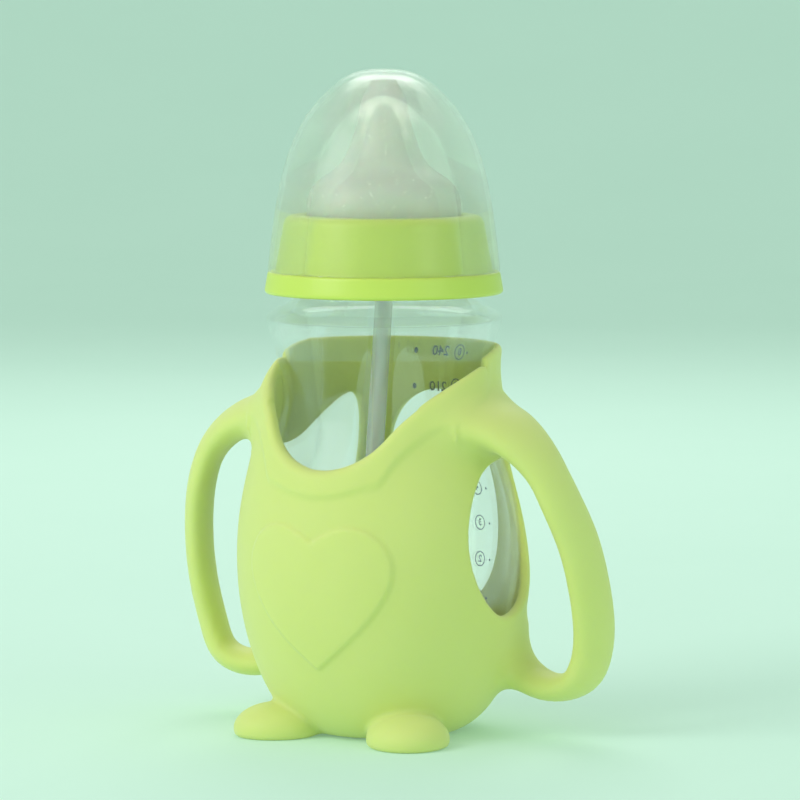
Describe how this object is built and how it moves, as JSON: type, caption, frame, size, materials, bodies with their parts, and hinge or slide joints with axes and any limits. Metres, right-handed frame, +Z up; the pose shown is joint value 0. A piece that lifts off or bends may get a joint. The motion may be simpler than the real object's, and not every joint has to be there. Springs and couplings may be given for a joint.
{
  "type": "baby bottle",
  "caption": "Wide-neck glass feeding bottle in a silicone sleeve with two loop handles, feet and windows, with screw collar, teat, dome cap and weighted straw.",
  "frame": {"origin": "on the bottle's axis, in the plane that it stands on", "axes": "+Z up along the bottle's axis, -Y towards the front with the heart and the scoop, handles along X"},
  "size_m": [0.126, 0.0761, 0.1738],
  "materials": {
    "sleeve_silicone": "soft matte silicone",
    "clear_glass": "clear gloss",
    "green_pp": "satin",
    "teat_silicone": "translucent satin",
    "clear_pp": "clear gloss",
    "natural_pp": "translucent satin",
    "straw_silicone": "translucent satin",
    "weight_pp": "satin",
    "steel": "polished"
  },
  "bodies": {
    "bottle": {"silicone_sleeve": "sleeve_silicone", "glass_bottle": "clear_glass"},
    "teat_unit": {"teat": "teat_silicone", "straw_adapter": "natural_pp"},
    "collar": {"screw_collar": "green_pp"},
    "cap": {"dome_cap": "clear_pp"},
    "straw": {"straw_tube": "straw_silicone", "weight_upper_shell": "weight_pp", "weight_lower_shell": "weight_pp", "weight_ball": "steel"}
  },
  "joints": [
    {"name": "thread_lift", "type": "slide", "parent": "bottle", "child": "teat_unit", "axis": [0, 0, 1], "range_m": [0, 0.01201]},
    {"name": "collar_turn", "type": "hinge", "parent": "teat_unit", "child": "collar", "pos_m": [0, 0, 0.12], "axis": [0, 0, 1], "range_deg": [0, 720]},
    {"name": "cap_lift", "type": "slide", "parent": "collar", "child": "cap", "axis": [0, 0, 1], "range_m": [0, 0.06]},
    {"name": "straw_swing", "type": "hinge", "parent": "teat_unit", "child": "straw", "pos_m": [0, 0, 0.1167], "axis": [0, -1, 0], "range_deg": [-5, 13], "deforming": ["straw_tube"]}
  ],
  "couplings": [
    {"joint": "thread_lift", "follows": "collar_turn", "m_per_rad": 0.00095493}
  ]
}
